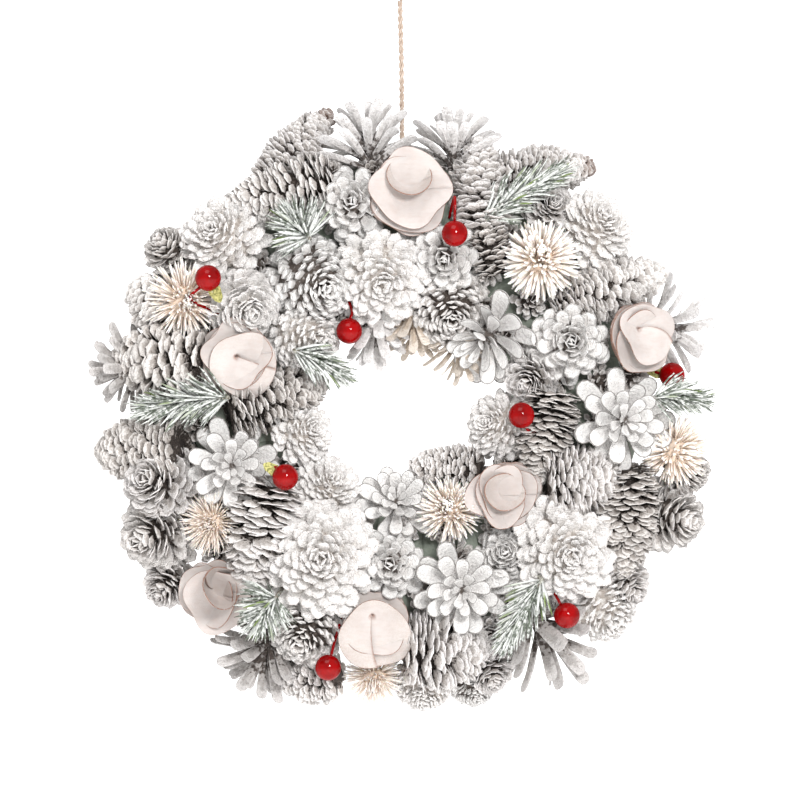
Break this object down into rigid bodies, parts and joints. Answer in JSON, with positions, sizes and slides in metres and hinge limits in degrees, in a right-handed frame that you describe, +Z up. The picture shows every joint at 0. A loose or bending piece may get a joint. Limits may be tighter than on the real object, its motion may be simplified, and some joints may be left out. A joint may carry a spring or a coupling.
{
  "type": "preserved wreath",
  "caption": "Round hanging wreath of whitened cones, pale wood-shaving roses, cream thistle balls, red berries and frosted needle sprays on a wrapped ring, hung by jute twine.",
  "frame": {"origin": "top of the twine's loop, the point that the wreath hangs from", "axes": "+Z up; the wreath's face looks along -Y and its flat back along +Y; +X to the right when its face is looked at"},
  "size_m": [0.3615, 0.0798, 0.4403],
  "materials": {
    "wrapped_ring": "matte grey-green wrap",
    "jute": "rough two-ply twine",
    "frosted_cone": "whitened, grey-brown in the recesses",
    "glitter_cone": "coated in white glitter",
    "spruce_cone": "frosted scale tips over brown-grey",
    "dark_cone": "thinly frosted",
    "petalled_cone": "smooth whitened scales",
    "strap_cone": "whitened with tan tips",
    "shaved_wood": "pinkish off-white shaving with brown edges",
    "thistle": "dry cream spines",
    "berry_red": "glossy lacquer",
    "needles": "grey-green with white frosting"
  },
  "bodies": {
    "root": {"base_ring": "wrapped_ring", "twine_tie": "jute", "hanging_twine": "jute", "hanging_loop": "jute", "spruce_cones_11": "spruce_cone", "frosted_cones_10": "frosted_cone", "frosted_cones_inner_10": "frosted_cone", "glitter_cones_12": "glitter_cone", "frosted_cones_inner_1": "frosted_cone", "spruce_cones_1": "spruce_cone", "spruce_cones_2": "spruce_cone", "frosted_cones_3": "frosted_cone", "spruce_cone_9": "spruce_cone", "frosted_cones_8_30": "frosted_cone", "dark_cones_9": "dark_cone", "spruce_cone_8": "spruce_cone", "glitter_cones_7": "glitter_cone", "frosted_cones_8": "frosted_cone", "dark_cones_4": "dark_cone", "frosted_cones_4_30": "frosted_cone", "glitter_cones_5": "glitter_cone", "frosted_cones_6_30": "frosted_cone", "frosted_cones_5_30": "frosted_cone", "spruce_cone_inner_5": "spruce_cone", "strap_cone_2": "strap_cone", "strap_cone_5": "strap_cone", "strap_cone_7": "strap_cone", "petalled_cone_1": "petalled_cone", "petalled_cone_3": "petalled_cone", "petalled_cone_8": "petalled_cone", "petalled_cone_6": "petalled_cone", "petalled_cone_5": "petalled_cone", "rose_12": "shaved_wood", "rose_2": "shaved_wood", "rose_9": "shaved_wood", "rose_4": "shaved_wood", "rose_7": "shaved_wood", "rose_6": "shaved_wood", "thistle_10": "thistle", "thistle_2": "thistle", "thistle_8": "thistle", "thistle_5": "thistle", "thistle_6": "thistle", "thistle_3": "thistle", "berry_1": "berry_red", "berry_10": "berry_red", "berry_11": "berry_red", "berry_2": "berry_red", "berry_8": "berry_red", "berry_4": "berry_red", "berry_5": "berry_red", "berry_7": "berry_red", "needle_spray_11": "needles", "needle_spray_1": "needles", "needle_spray_3": "needles", "needle_spray_9": "needles", "needle_spray_10": "needles", "needle_spray_7": "needles", "needle_spray_5": "needles"}
  },
  "joints": []
}
